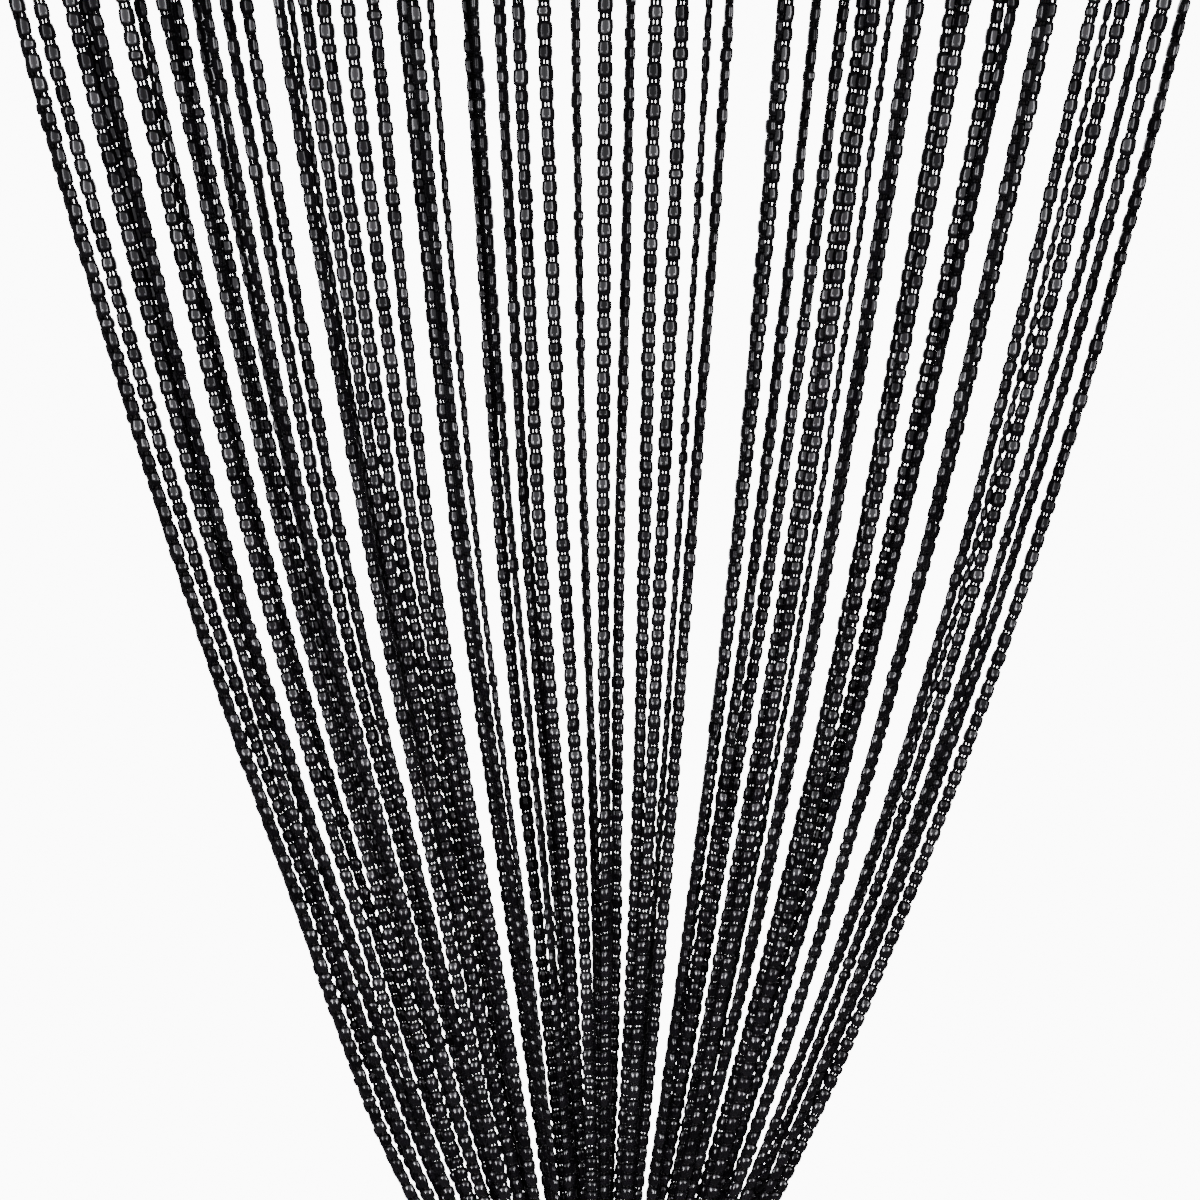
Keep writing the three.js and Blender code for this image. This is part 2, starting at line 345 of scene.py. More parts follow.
@dataclass(frozen=True)
class WovenPolyester:
    """Polyester yarn, woven or twisted: matt black, with a soft sheen where its fibres catch light."""

    name: str
    colour: str
    warp: float  # from yarn to yarn across, coarser than the real 0.5 mm so that it shows
    weft: float  # from yarn to yarn along
    uneven: float = 0.3  # how unevenly the yarns lie
    roughness: float = 0.75
    wear: tuple[float, float] = (-0.1, 0.12)  # of the roughness, from fibre to fibre
    sheen: float = 0.06
    sheen_roughness: float = 0.4
    shine: float = 0.12  # low, because the fibres shade one another
    fibre: float = 4 * MM  # the size of the patches in which the fibres lie alike
    # painted shade: the tones darken the colour between the yarns and lighten it on their tops
    tones: tuple[float, float] = (0.55, 1.3)  # from between the yarns to their tops
    relief: tuple[float, float] = (0.6, 0.3 * MM)  # how strongly the yarns show, and their height
    flat: bool = True  # whether the piece says where each point lies on the flat cloth

    def build(self) -> bpy.types.Material:
        """Makes the material."""
        material, tree, shader = new_material(self.name)
        if self.flat:
            place = add_node(tree, "ShaderNodeAttribute", attribute_name="cloth").outputs["Vector"]
        else:
            place = add_node(tree, "ShaderNodeTexCoord").outputs["Object"]
        across = self._yarns(tree, place, "X", self.warp)
        along = self._yarns(tree, place, "Z", self.weft)
        cloth = add_node(tree, "ShaderNodeMath", {0: across, 1: along}, operation="MAXIMUM").outputs[0]
        fibres = add_node(
            tree, "ShaderNodeTexNoise", {"Vector": place, "Scale": 1 / self.fibre, "Detail": 4.0}
        ).outputs["Fac"]
        # painted shade: the colour darkens between the yarns and lightens on their tops; the fibre patches
        # vary it at random
        light = add_node(
            tree, "ShaderNodeMath", {0: cloth, 1: 0.5, 2: fibres}, operation="MULTIPLY_ADD"
        ).outputs[0]
        shade = add_node(
            tree,
            "ShaderNodeMapRange",
            {"Value": light, "To Min": self.tones[0], "To Max": self.tones[1]},
        ).outputs["Result"]
        colour = add_node(
            tree, "ShaderNodeVectorMath", {0: linear(self.colour)[:3], "Scale": shade}, operation="SCALE"
        )
        least, most = (self.roughness + change for change in self.wear)
        matt = add_node(tree, "ShaderNodeMapRange", {"Value": fibres, "To Min": least, "To Max": most})
        bump = add_node(
            tree,
            "ShaderNodeBump",
            {"Height": cloth, "Strength": self.relief[0], "Distance": self.relief[1]},
        )
        inputs = {
            "Specular IOR Level": self.shine,
            "Sheen Weight": self.sheen,
            "Sheen Roughness": self.sheen_roughness,
            "Base Color": colour.outputs["Vector"],
            "Roughness": matt.outputs["Result"],
            "Normal": bump.outputs["Normal"],
        }
        fill_inputs(tree, shader, inputs)
        return material

    def _yarns(
        self, tree: bpy.types.NodeTree, place: bpy.types.NodeSocket, axis: str, pitch: float
    ) -> bpy.types.NodeSocket:
        """The yarns of one direction, as bands.

        Args:
            tree: the node tree
            place: the coordinates
            axis: the direction that the bands follow one another in
            pitch: from yarn to yarn
        Returns:
            The socket of the bands' height, from 0 to 1.
        """
        wave_pitch = 20 / (2 * math.pi)  # the wave texture has 20 radians for each unit at scale 1
        inputs = {
            "Vector": place,
            "Scale": 1 / (pitch * wave_pitch),
            "Distortion": self.uneven,
            "Detail Scale": 2.0,
        }
        return add_node(tree, "ShaderNodeTexWave", inputs, bands_direction=axis).outputs["Fac"]


@dataclass(frozen=True)
class PaleBoard:
    """A floor of pale matt board, with a faint grain."""

    name: str = "board_pale_matt"
    colour: str = "f1f0ee"
    grain: float = 6 * MM
    tones: tuple[float, float] = (0.96, 1.03)  # from the darkest grain to the lightest
    roughness: float = 0.8

    def build(self) -> bpy.types.Material:
        """Makes the material."""
        material, tree, shader = new_material(self.name)
        place = add_node(tree, "ShaderNodeTexCoord").outputs["Object"]
        speckle = add_node(
            tree, "ShaderNodeTexNoise", {"Vector": place, "Scale": 1 / self.grain, "Detail": 3.0}
        ).outputs["Fac"]
        shade = add_node(
            tree,
            "ShaderNodeMapRange",
            {"Value": speckle, "To Min": self.tones[0], "To Max": self.tones[1]},
        ).outputs["Result"]
        colour = add_node(
            tree, "ShaderNodeVectorMath", {0: linear(self.colour)[:3], "Scale": shade}, operation="SCALE"
        )
        inputs = {"Base Color": colour.outputs["Vector"], "Roughness": self.roughness}
        fill_inputs(tree, shader, inputs)
        return material


@dataclass(frozen=True)
class Barrel:
    """A small round or flat barrel that is repeated: a bead, a spacer or a stitch."""

    length: float
    width: float
    thickness: float
    end_size: float  # of its ends, as a share of its middle
    sides: int
    bands: int
    seed: int
    corner: float = 0.29  # how close to the ends its rings lie: the smaller, the closer

    def tree(self, name: str) -> bpy.types.NodeTree:
        """Builds the tree that puts one barrel on each point, along "along" and as wide as "across" says.

        Args:
            name: the tree's name
        Returns:
            The tree, with its sizes as named inputs.
        """
        inputs = {
            "Points": "Geometry",
            "Length": "Float",
            "Width": "Float",
            "Thickness": "Float",
            "End Size": "Float",
            "Corner": "Float",
            "Sides": "Int",
            "Bands": "Int",
            "Seed": "Int",
            "Material": "Material",
        }
        tree, given = new_tree(name, inputs, "Barrels")
        drum = add_node(
            tree,
            "GeometryNodeMeshCylinder",
            {"Vertices": given["Sides"], "Side Segments": given["Bands"], "Radius": 1.0, "Depth": 2.0},
            fill_type="NGON",
        ).outputs["Mesh"]
        shaped, rim_shade = self._shape(tree, given, drum)
        # the mask of the acrylic's painted shade, rising towards the edges and ends
        marked = add_node(
            tree,
            "GeometryNodeStoreNamedAttribute",
            {"Geometry": shaped, "Name": "rim_shade", "Value": rim_shade},
            data_type="FLOAT",
            domain="POINT",
        ).outputs["Geometry"]
        smooth = add_node(
            tree, "GeometryNodeSetShadeSmooth", {"Geometry": marked, "Shade Smooth": True}
        ).outputs["Geometry"]
        along, across, stretch = (
            add_node(
                tree, "GeometryNodeInputNamedAttribute", {"Name": title}, data_type="FLOAT_VECTOR"
            ).outputs["Attribute"]
            for title in ("along", "across", "stretch")
        )
        turn = add_node(
            tree,
            "FunctionNodeAxesToRotation",
            {"Primary Axis": along, "Secondary Axis": across},
            primary_axis="Z",
            secondary_axis="X",
        ).outputs["Rotation"]
        placed = add_node(
            tree,
            "GeometryNodeInstanceOnPoints",
            {"Points": given["Points"], "Instance": smooth, "Rotation": turn, "Scale": stretch},
        ).outputs["Instances"]
        chance = add_node(tree, "FunctionNodeRandomValue", {"Seed": given["Seed"]}, data_type="FLOAT")
        toned = add_node(
            tree,
            "GeometryNodeStoreNamedAttribute",
            {"Geometry": placed, "Name": "tone", "Value": chance.outputs[1]},
            data_type="FLOAT",
            domain="INSTANCE",
        ).outputs["Geometry"]
        end_tree(tree, toned, given["Material"])
        return tree

    @staticmethod
    def _shape(
        tree: bpy.types.NodeTree, given: bpy.types.NodeOutputs, drum: bpy.types.NodeSocket
    ) -> tuple[bpy.types.NodeSocket, bpy.types.NodeSocket]:
        """Swells a plain drum to a barrel.

        Args:
            tree: the node tree
            given: the tree's inputs
            drum: a cylinder of radius 1 from -1 to 1
        Returns:
            The barrel, and how near to its edges and ends each point lies, from 0 to 1, as the mask of the
            painted rim shade.
        """
        place = add_node(tree, "GeometryNodeInputPosition").outputs["Position"]
        parts = add_node(tree, "ShaderNodeSeparateXYZ", {"Vector": place}).outputs
        size = add_node(tree, "ShaderNodeMath", {0: parts["Z"]}, operation="ABSOLUTE").outputs[0]
        sign = add_node(tree, "ShaderNodeMath", {0: parts["Z"]}, operation="SIGN").outputs[0]
        level = add_node(
            tree, "ShaderNodeMath", {0: size, 1: given["Corner"]}, operation="POWER"
        ).outputs[0]
        height = add_node(tree, "ShaderNodeMath", {0: level, 1: sign}, operation="MULTIPLY").outputs[0]
        fourth = add_node(tree, "ShaderNodeMath", {0: level, 1: 4.0}, operation="POWER").outputs[0]
        hollow = add_node(tree, "ShaderNodeMath", {0: 1.0, 1: fourth}, operation="SUBTRACT").outputs[0]
        swell = add_node(tree, "ShaderNodeMath", {0: hollow}, operation="SQRT").outputs[0]
        radius = add_node(
            tree,
            "ShaderNodeMapRange",
            {"Value": swell, "To Min": given["End Size"], "To Max": 1.0},
        ).outputs["Result"]
        across, deep, side = (
            add_node(tree, "ShaderNodeMath", {0: parts[axis], 1: share}, operation="MULTIPLY").outputs[0]
            for axis, share in (("X", radius), ("Y", radius), ("X", parts["X"]))
        )
        ends = {}
        for k, (value, title) in enumerate(((across, "Width"), (deep, "Thickness"), (height, "Length"))):
            half = add_node(tree, "ShaderNodeMath", {0: given[title], 1: 0.5}, operation="MULTIPLY")
            end = add_node(
                tree, "ShaderNodeMath", {0: value, 1: half.outputs[0]}, operation="MULTIPLY"
            )
            ends[k] = end.outputs[0]
        corner = add_node(tree, "ShaderNodeCombineXYZ", ends).outputs[0]
        shaped = add_node(
            tree, "GeometryNodeSetPosition", {"Geometry": drum, "Position": corner}
        ).outputs["Geometry"]
        inner = add_node(tree, "ShaderNodeMath", {0: 1.0, 1: side}, operation="SUBTRACT").outputs[0]
        share = add_node(tree, "ShaderNodeMath", {0: inner, 1: hollow}, operation="MULTIPLY").outputs[0]
        rim_shade = add_node(tree, "ShaderNodeMath", {0: 1.0, 1: share}, operation="SUBTRACT").outputs[0]
        return shaped, rim_shade

    def repeat(self, name: str, places: "Places", material: bpy.types.Material) -> bpy.types.Object:
        """Makes one plain mesh of barrels, one at each place.

        Args:
            name: the piece's name
            places: where they lie and how they are turned
            material: their material
        Returns:
            The piece.
        """
        piece = mesh_piece(name, np.array(places.middles), [])
        store(piece.data, "along", np.array(places.alongs))
        store(piece.data, "across", np.array(places.acrosses))
        store(piece.data, "stretch", np.array(places.stretches))
        given = {
            "Length": self.length,
            "Width": self.width,
            "Thickness": self.thickness,
            "End Size": self.end_size,
            "Corner": self.corner,
            "Sides": self.sides,
            "Bands": self.bands,
            "Seed": self.seed,
            "Material": material,
        }
        return bake_tree(piece, self.tree(f"{name}_tree"), given)


@dataclass
class Places:
    """Where repeated pieces lie: middles, directions along and across, and sizes as shares."""

    middles: list = field(default_factory=list)
    alongs: list = field(default_factory=list)
    acrosses: list = field(default_factory=list)
    stretches: list = field(default_factory=list)

    def add(
        self, middle: np.ndarray, along: np.ndarray, across: np.ndarray, stretch: tuple = (1, 1, 1)
    ) -> None:
        """Adds one place.

        Args:
            middle: its middle
            along: the direction of its length
            across: the direction of its width
            stretch: its width, thickness and length as shares of the usual ones
        """
        self.middles.append(middle)
        self.alongs.append(along)
        self.acrosses.append(across)
        self.stretches.append(stretch)


def bake_tree(piece: bpy.types.Object, tree: bpy.types.NodeTree, given: dict) -> bpy.types.Object:
    """Runs a geometry tree on a piece and keeps its result as a plain mesh.

    Args:
        piece: the object that carries the tree's points or lines
        tree: the geometry tree
        given: input name and value
    Returns:
        The same object, with no modifier.
    """
    modifier = piece.modifiers.new(tree.name, "NODES")
    modifier.node_group = tree
    for item in tree.interface.items_tree:
        if item.in_out == "INPUT" and item.name in given:
            modifier[item.identifier] = given[item.name]
    shown = piece.evaluated_get(bpy.context.evaluated_depsgraph_get())
    mesh = bpy.data.meshes.new_from_object(shown)
    mesh.name = piece.name
    piece.modifiers.clear()
    piece.data = mesh
    return piece


@dataclass
class StrandLine:
    """One strand's centre line and the direction of its width, from the top down."""

    points: np.ndarray
    across: np.ndarray

    def fine(self, step: float) -> tuple[np.ndarray, np.ndarray, np.ndarray]:
        """Samples the smooth curve through the points.

        Args:
            step: the distance from sample to sample, about
        Returns:
            The distance from the top, the place and the direction of the width at each sample.
        """
        spans = np.linalg.norm(np.diff(self.points, axis=0), axis=1)
        slopes = np.diff(self.points, axis=0) / spans[:, None]
        before, after = spans[:-1, None], spans[1:, None]
        middle = (slopes[:-1] * after + slopes[1:] * before) / (before + after)
        tangents = np.vstack([slopes[:1], middle, slopes[-1:]])
        places, widths = [], []
        for k, span in enumerate(spans):
            last = k == len(spans) - 1
            t = np.linspace(0, 1, max(2, math.ceil(span / step)), endpoint=last)[:, None]
            places.append(
                (2 * t**3 - 3 * t**2 + 1) * self.points[k]
                + (t**3 - 2 * t**2 + t) * span * tangents[k]
                + (3 * t**2 - 2 * t**3) * self.points[k + 1]
                + (t**3 - t**2) * span * tangents[k + 1]
            )
            widths.append(self.across[k] * (1 - t) + self.across[k + 1] * t)
        place = np.vstack(places)
        return way_along(place), place, unit(np.vstack(widths))


@dataclass
class PackedStrands:
    """Reads the strands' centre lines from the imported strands."""

    strip_height: float = 4 * MM
    width: float = 6.2 * MM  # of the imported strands' flat section
    same_height: float = 0.02 * MM
    turn_share: tuple[float, float] = (1.35, 0.35)  # of a packed strand's turn, at strip and tie
    turn_most: float = math.radians(74)
    tie_reach: float = 150 * MM  # above and below the tie, where the beads turn to follow the bundle
    sample: float = 10 * MM  # between the points of a line
    spread_from: float = -0.45  # the height below which strands lie side by side more evenly
    spread_full: float = -1.05
    spread_end: float = -1.36
    spread: float = 0.6  # how far they move towards an even spacing
    level_step: float = 10 * MM
    spread_fade: float = 150 * MM  # the height over which the moves end
    smooth_levels: int = 23  # over how many levels a move is smoothed
    bulge_levels: tuple[float, ...] = (-0.1, -0.35, -0.6, -0.85, -1.1, -1.36)
    bulge_left: tuple[float, ...] = (0, 0, 0, 1, 15, 0)  # millimetres, at those levels
    bulge_right: tuple[float, ...] = (0, 8, 11, 8, 6, 0)
    bulge_powers: tuple[int, int] = (4, 16)  # left and right: the higher, the fewer strands move

    def lines(self) -> list[StrandLine]:
        """Every strand's line, from left to right."""
        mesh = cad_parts["strands"].data
        corners = np.empty(len(mesh.vertices) * 3)
        mesh.vertices.foreach_get("co", corners)
        points, number = np.unique(np.round(corners.reshape(-1, 3), 6), axis=0, return_inverse=True)
        number = number.ravel()
        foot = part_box("strands")[1].z - self.strip_height
        hanging = points[:, 2] < foot - MM
        neighbours: dict[int, set[int]] = {int(i): set() for i in np.flatnonzero(hanging)}
        for edge in mesh.edges:
            a, b = (int(number[v]) for v in edge.vertices)
            if hanging[a] and hanging[b] and a != b:
                neighbours[a].add(b)
                neighbours[b].add(a)
        lines = []
        while neighbours:
            group, open_ends = set(), [next(iter(neighbours))]
            while open_ends:
                point = open_ends.pop()
                if point in neighbours:
                    group.add(point)
                    open_ends.extend(neighbours.pop(point))
            lines.append(self._line(points[sorted(group)], foot))
        self._even_out(lines, foot)
        return sorted(lines, key=lambda line: line.points[0][0])

    def _even_out(self, lines: list[StrandLine], foot: float) -> None:
        """Moves strands sideways by a few millimetres, where the wide gaps between bunches close.

        Args:
            lines: the strands' lines, which are changed
            foot: the height where they begin
        """
        levels = np.arange(foot, self.spread_end, -self.level_step)
        x = np.array([np.interp(-levels, -line.points[:, 2], line.points[:, 0]) for line in lines])
        rank = np.argsort(np.argsort(x, axis=0), axis=0) / (len(lines) - 1)
        even = x.min(axis=0) + (x.max(axis=0) - x.min(axis=0)) * rank
        begun = ease((self.spread_from - levels) / (self.spread_from - self.spread_full))
        left = ease((levels - self.spread_end) / self.spread_fade)
        moves = (even - x) * begun * left * self.spread + self._bulges(x, levels)
        window = np.hanning(self.smooth_levels) / np.hanning(self.smooth_levels).sum()
        for line, move in zip(lines, moves):
            smooth = np.convolve(np.pad(move, self.smooth_levels // 2), window, mode="valid")
            line.points[:, 0] += np.interp(-line.points[:, 2], -levels, smooth, left=0, right=0)

    def _bulges(self, x: np.ndarray, levels: np.ndarray) -> np.ndarray:
        """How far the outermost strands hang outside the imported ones.

        Args:
            x: each strand's x at each level
            levels: the heights
        Returns:
            The moves along X, as many as there are in x.
        """
        middle, half = (x.max(axis=0) + x.min(axis=0)) / 2, (x.max(axis=0) - x.min(axis=0)) / 2
        moves = np.zeros_like(x)
        for sign, sizes, power in zip((-1, 1), (self.bulge_left, self.bulge_right), self.bulge_powers):
            size = np.interp(-levels, -np.array(self.bulge_levels), np.array(sizes) * MM)
            moves += sign * size * np.clip(sign * (x - middle) / half, 0, 1) ** power
        return moves

    def _line(self, points: np.ndarray, foot: float) -> StrandLine:
        """Makes one strand's line from its corners.

        Args:
            points: the corners of all its sections
            foot: the height of the strip's lower face
        Returns:
            The line, which begins in the strip's foot.
        """
        points = points[np.argsort(-points[:, 2])]
        breaks = np.flatnonzero(-np.diff(points[:, 2]) > self.same_height) + 1
        rings = [ring for ring in np.split(points, breaks) if len(ring) == 4]
        middles = np.array([ring.mean(axis=0) for ring in rings])
        widths = []
        for ring in rings:
            steps = ring[1:] - ring[0]
            off = np.abs(np.linalg.norm(steps, axis=1) - self.width)
            step = steps[np.argmin(off)]
            before = widths[-1] if widths else RIGHT
            widths.append(step / np.linalg.norm(step) * (1 if step @ before >= 0 else -1))
        way_down = (foot - middles[:, 2]) / (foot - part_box("tie")[1].z)
        share = self.turn_share[0] + (self.turn_share[1] - self.turn_share[0]) * ease(way_down)
        turns = np.array([math.atan2(wide[1], wide[0]) for wide in widths]) * share
        turns = np.clip(turns, -self.turn_most, self.turn_most)
        across = [(math.cos(turn), math.sin(turn), 0.0) for turn in turns]
        slope = (middles[0] - middles[1]) / (middles[0][2] - middles[1][2])
        root = middles[0] + slope * (foot - middles[0][2])
        root[1] = 0
        return self._wrapped(StrandLine(np.vstack([root, middles]), np.array([RIGHT, *across])))

    def _wrapped(self, line: StrandLine) -> StrandLine:
        """Turns the widths near the tie to follow the bundle's outside, so that the beads lie flat in it.

        Args:
            line: a strand's line
        Returns:
            The line with more points near the tie and the widths turned there.
        """
        low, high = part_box("tie")
        middle = (low.z + high.z) / 2
        half = (high.z - low.z) / 2
        _, place, across = line.fine(self.sample)
        outward = np.column_stack([place[:, 0], place[:, 1], np.zeros(len(place))])
        round_it = unit(np.column_stack([-outward[:, 1], outward[:, 0], outward[:, 2]]))
        off = np.abs(place[:, 2] - middle) - half
        share = 1 - ease(off / self.tie_reach)
        sign = np.where(np.sum(across * round_it, axis=1) >= 0, 1.0, -1.0)
        at_tie = sign[np.argmin(np.abs(off))]
        turned = across * (1 - share[:, None]) + round_it * at_tie * share[:, None]
        return StrandLine(place, unit(turned))


@dataclass
class Strands:
    """The strands: flat black beads on three threads, with a pair of small tube beads between each two.

    The tubes sit on the outer threads, so light shows on either side of the middle one.
    """

    bead: Barrel = Barrel(12.1 * MM, 12.0 * MM, 6.0 * MM, 0.6, sides=8, bands=4, seed=11, corner=0.4)
    tube: Barrel = Barrel(3.0 * MM, 3.3 * MM, 3.3 * MM, 1.0, sides=5, bands=1, seed=12)
    knot: Barrel = Barrel(3.4 * MM, 3.6 * MM, 3.2 * MM, 0.5, sides=8, bands=3, seed=13)
    gap: float = 2.4 * MM  # between beads, where the tubes sit
    gap_spread: float = 0.3
    tube_hidden: float = 1.4 * MM  # of a tube's length, in the hollow ends of the two beads
    thread_apart: float = 6.1 * MM  # from the one outer thread to the other
    thread_width: float = 2.2 * MM
    thread_bare: float = 0.5  # of its width where it's bare, between the strip and the first bead
    thread_stops: int = 60  # points of the middle thread below the strip
    first_reach: float = 13 * MM  # how far below the strip the first bead may begin
    first_least: float = 2.5 * MM
    tail: float = 3 * MM  # bare threads and the knot below the last bead
    length_spread: float = 0.12
    short_share: float = 0.07  # of the beads that came out short
    short_size: float = 0.68
    girths: tuple[float, float] = (-0.05, 0.03)  # how much thinner or thicker a bead comes out
    tube_girths: tuple[float, float] = (-0.08, 0.04)
    tilt: float = 0.07  # how far a bead leans, in radians either way
    swing: float = 0.24  # how far it turns about its threads
    polishes: tuple[float, ...] = (0.17, 0.32, 0.5, 0.72)  # how strongly each batch of beads mirrors
    sample: float = 4 * MM  # between the points of a strand's line
    seed: int = 20

    def build(self, lines: list[StrandLine]) -> list[bpy.types.Object]:
        """Makes the beads, tubes and threads.

        Args:
            lines: the strands' lines from left to right
        Returns:
            The pieces.
        """
        # the tubes' edges and ends are darkened too, as painted shade
        satin = PolishedAcrylic(
            "acrylic_black_satin", face="030304", rim_shade="020202", shine=0.08, roughness=0.45
        ).build()
        yarn = WovenPolyester(
            "polyester_thread_dark", "0c0908", 1.0 * MM, 0.9 * MM, flat=False
        ).build()
        draw = random.Random(self.seed)
        threads = []
        beads = [Places() for _ in self.polishes]
        tubes = [Places(), Places()]
        knots = Places()
        for number, line in enumerate(lines):
            threads += self._string(line, beads, tubes[2 * number // len(lines)], draw)
            end, down = threads[-2][-1], unit(threads[-2][-1] - threads[-2][-2])
            knots.add(end, down, RIGHT)
        pieces = []
        for number, (batch, shine) in enumerate(zip(beads, self.polishes), start=1):
            acrylic = PolishedAcrylic(f"acrylic_black_polished_{number}", shine=shine).build()
            pieces.append(self.bead.repeat(f"beads_{number}", batch, acrylic))
        for number, side in enumerate(tubes, start=1):
            pieces.append(self.tube.repeat(f"tubes_{number}", side, satin))
        pieces.append(self._threads(threads, yarn))
        pieces.append(self.knot.repeat("knots", knots, yarn))
        for piece in pieces:
            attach(piece, BODY)
            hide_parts("strands")
        return pieces

    def _string(
        self, line: StrandLine, beads: list[Places], tubes: Places, draw: random.Random
    ) -> list[np.ndarray]:
        """Strings one strand.

        Args:
            line: its line
            beads: take its beads, each from any batch
            tubes: takes its tube beads
            draw: the stream of random numbers
        Returns:
            Each thread's points.
        """
        distance, place, across = line.fine(self.sample)
        direction = unit(np.gradient(place, distance, axis=0))

        def at(s: float) -> tuple[np.ndarray, np.ndarray, np.ndarray]:
            """Place, direction down and direction of the width at a distance from the top."""
            spot, down, wide = (
                np.array([np.interp(s, distance, rows[:, k]) for k in range(3)])
                for rows in (place, direction, across)
            )
            return spot, unit(down), unit(wide)

        top = draw.uniform(self.first_least, self.first_reach)
        s = top
        end = distance[-1] - self.tail
        while True:
            share = 1 + draw.uniform(-1, 1) * self.length_spread
            if draw.random() < self.short_share:
                share = self.short_size
            length = self.bead.length * share
            if s + length > end:
                break
            middle, along, wide = at(s + length / 2)
            lean = np.array([draw.uniform(-1, 1) for _ in range(3)]) * self.tilt
            swing = np.array([draw.uniform(-1, 1) for _ in range(3)]) * self.swing
            girth = 1 + draw.uniform(*self.girths)
            batch = draw.choice(beads)
            batch.add(middle, unit(along + lean), unit(wide + swing), (girth, girth, share))
            s += length
            gap = self.gap * (1 + draw.uniform(-1, 1) * self.gap_spread)
            if s + gap + self.bead.length < end:
                middle, along, wide = at(s + gap / 2)
                for side in (-0.5, 0.5):
                    girth = 1 + draw.uniform(*self.tube_girths)
                    spot = middle + wide * side * self.thread_apart
                    share = (gap + self.tube_hidden) / self.tube.length
                    tubes.add(spot, along, wide, (girth, girth, share))
            s += gap
        return self._thread_points(distance, place, across, (top, min(s, distance[-1])))

    def _thread_points(
        self, distance: np.ndarray, place: np.ndarray, across: np.ndarray, beaded: tuple[float, float]
    ) -> list[np.ndarray]:
        """The three threads of a strand, which part between the strip and the first bead.

        Args:
            distance: from the top, for each sample
            place: of each sample
            across: the width's direction at each sample
            beaded: where the first bead begins and the knot lies
        Returns:
            Each thread's points.
        """
        top, end = beaded
        whole = np.concatenate([[0], np.linspace(top, end, self.thread_stops)])
        short = np.array([0, top, top + self.bead.length / 2])  # the tubes hide the rest of it
        threads = []
        for side in (-0.5, 0, 0.5):
            stops = short if side else whole
            centre = np.column_stack([np.interp(stops, distance, place[:, k]) for k in range(3)])
            wide = np.column_stack([np.interp(stops, distance, across[:, k]) for k in range(3)])
            apart = np.full(len(stops), self.thread_apart)
            apart[0] = 2 * self.thread_width * self.thread_bare
            threads.append(centre + unit(wide) * (apart * side)[:, None])
        return threads

    def _threads(self, threads: list[np.ndarray], yarn: bpy.types.Material) -> bpy.types.Object:
        """Makes every thread as one piece.

        Args:
            threads: each thread's points
            yarn: the material
        Returns:
            The piece.
        """
        points = np.vstack(threads)
        mesh = bpy.data.meshes.new("threads")
        edges, thick, start = [], [], 0
        for thread in threads:
            edges += [(start + k, start + k + 1) for k in range(len(thread) - 1)]
            bare = 2 if len(thread) > self.thread_stops else len(thread)
            thick += [self.thread_bare] * bare + [1.0] * (len(thread) - bare)
            start += len(thread)
        mesh.from_pydata([tuple(p) for p in points], edges, [])
        store(mesh, "thick", np.array(thick))
        piece = bpy.data.objects.new("threads", mesh)
        bpy.context.scene.collection.objects.link(piece)
        inputs = {"Lines": "Geometry", "Radius": "Float", "Sides": "Int", "Material": "Material"}
        tree, given = new_tree("thread_tree", inputs, "Threads")
        line = add_node(tree, "GeometryNodeMeshToCurve", {"Mesh": given["Lines"]}).outputs["Curve"]
        share = add_node(
            tree, "GeometryNodeInputNamedAttribute", {"Name": "thick"}, data_type="FLOAT"
        ).outputs["Attribute"]
        curve = add_node(
            tree, "GeometryNodeSetCurveRadius", {"Curve": line, "Radius": share}
        ).outputs["Curve"]
        section = add_node(
            tree,
            "GeometryNodeCurvePrimitiveCircle",
            {"Resolution": given["Sides"], "Radius": given["Radius"]},
        ).outputs["Curve"]
        tube = add_node(
            tree, "GeometryNodeCurveToMesh", {"Curve": curve, "Profile Curve": section, "Fill Caps": True}
        ).outputs["Mesh"]
        smooth = add_node(
            tree, "GeometryNodeSetShadeSmooth", {"Geometry": tube, "Shade Smooth": True}
        ).outputs["Geometry"]
        end_tree(tree, smooth, given["Material"])
        return bake_tree(piece, tree, {"Radius": self.thread_width / 2, "Sides": 4, "Material": yarn})


@dataclass(frozen=True)
class SleeveSection:
    """A closed outline of the folded tape, in Y and Z: flat at its foot and full round the rod."""

    half_foot: float
    foot: float
    fold: float  # where it begins to open
    half_depth: float
    top: float
    middle: float  # of the pocket
    roundness: float = 0.6

    def points(self, straight: int, bend: int) -> np.ndarray:
        """Points of the outline, from the foot at the back, over the top, to the foot at the front.

        Args:
            straight: how many lie on each flat side
            bend: how many lie on each of the four bends
        Returns:
            One row of y and z for each point.
        """
        waist = self.fold + (self.middle - self.fold) * self.roundness
        shoulder = self.middle + (self.top - self.middle) * self.roundness
        crown = self.half_depth * self.roundness
        foot, fold = (self.half_foot, self.foot), (self.half_foot, self.fold)
        side, top = (self.half_depth, self.middle), (0, self.top)
        half = np.vstack(
            [
                np.linspace(foot, fold, straight, endpoint=False),
                bezier([fold, (self.half_foot, waist), (self.half_depth, waist), side], bend),
                bezier([side, (self.half_depth, shoulder), (crown, self.top), top], bend),
                [top],
            ]
        )
        return np.vstack([half, half[-2::-1] * (-1, 1)])


